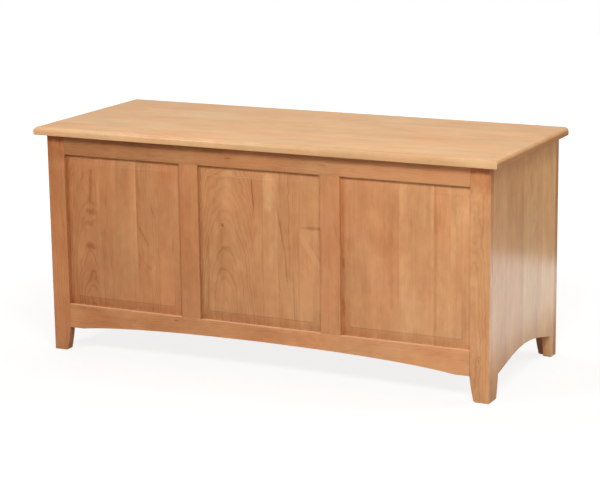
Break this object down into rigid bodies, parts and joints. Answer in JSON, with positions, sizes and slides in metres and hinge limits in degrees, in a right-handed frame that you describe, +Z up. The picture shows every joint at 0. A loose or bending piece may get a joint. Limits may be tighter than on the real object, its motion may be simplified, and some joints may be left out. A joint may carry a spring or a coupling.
{
  "type": "blanket chest",
  "caption": "Wooden blanket chest with raised panels in a framed front, an arched base, solid sides on shaped feet and a hinged lid held open by slotted stays.",
  "frame": {"origin": "middle of the whole footprint, on the floor", "axes": "+X to the right along the front, +Y towards the back, +Z up; the raised panels face -Y"},
  "size_m": [1.163, 0.4646, 0.544],
  "materials": {
    "lid_wood": "satin lacquer",
    "case_wood": "satin lacquer",
    "panel_wood": "satin lacquer",
    "raw_wood": "bare sanded",
    "brass": "satin"
  },
  "bodies": {
    "case": {"front_left_stile": "case_wood", "front_right_stile": "case_wood", "front_top_rail": "case_wood", "front_bottom_rail": "case_wood", "front_mid_stile_left": "case_wood", "front_mid_stile_right": "case_wood", "front_panel_left": "panel_wood", "front_panel_middle": "panel_wood", "front_panel_right": "panel_wood", "back_left_stile": "case_wood", "back_right_stile": "case_wood", "back_top_rail": "case_wood", "back_bottom_rail": "case_wood", "back_mid_stile_left": "case_wood", "back_mid_stile_right": "case_wood", "back_panel_left": "panel_wood", "back_panel_middle": "panel_wood", "back_panel_right": "panel_wood", "left_side": "case_wood", "right_side": "case_wood", "bottom_cleat_front": "raw_wood", "bottom_cleat_back": "raw_wood", "bottom_cleat_left": "raw_wood", "bottom_cleat_right": "raw_wood", "bottom_board": "raw_wood", "left_hinge_case_leaf": "brass", "left_hinge_pin": "brass", "middle_hinge_case_leaf": "brass", "middle_hinge_pin": "brass", "right_hinge_case_leaf": "brass", "right_hinge_pin": "brass", "left_stay_stud": "brass", "right_stay_stud": "brass"},
    "lid": {"lid": "lid_wood", "lid_batten_left": "lid_wood", "lid_batten_middle": "lid_wood", "lid_batten_right": "lid_wood", "left_hinge_lid_leaf": "brass", "middle_hinge_lid_leaf": "brass", "right_hinge_lid_leaf": "brass", "left_stay_rivet": "brass", "left_stay_bracket": "brass", "right_stay_rivet": "brass", "right_stay_bracket": "brass"},
    "left_stay": {"left_stay_arm": "brass"},
    "right_stay": {"right_stay_arm": "brass"}
  },
  "joints": [
    {"name": "lid_hinge", "type": "hinge", "parent": "case", "child": "lid", "pos_m": [0, 0.22875, 0.52475], "axis": [-1, 0, 0], "range_deg": [0, 95]},
    {"name": "left_stay_pivot", "type": "hinge", "parent": "lid", "child": "left_stay", "pos_m": [-0.53415, 0.08916, 0.514], "axis": [-1, 0, 0], "range_deg": [-47.5, 0]},
    {"name": "right_stay_pivot", "type": "hinge", "parent": "lid", "child": "right_stay", "pos_m": [0.53415, 0.08916, 0.514], "axis": [-1, 0, 0], "range_deg": [-47.5, 0]}
  ],
  "couplings": [
    {"joint": "left_stay_pivot", "follows": "lid_hinge", "ratio": -0.5},
    {"joint": "right_stay_pivot", "follows": "lid_hinge", "ratio": -0.5}
  ]
}
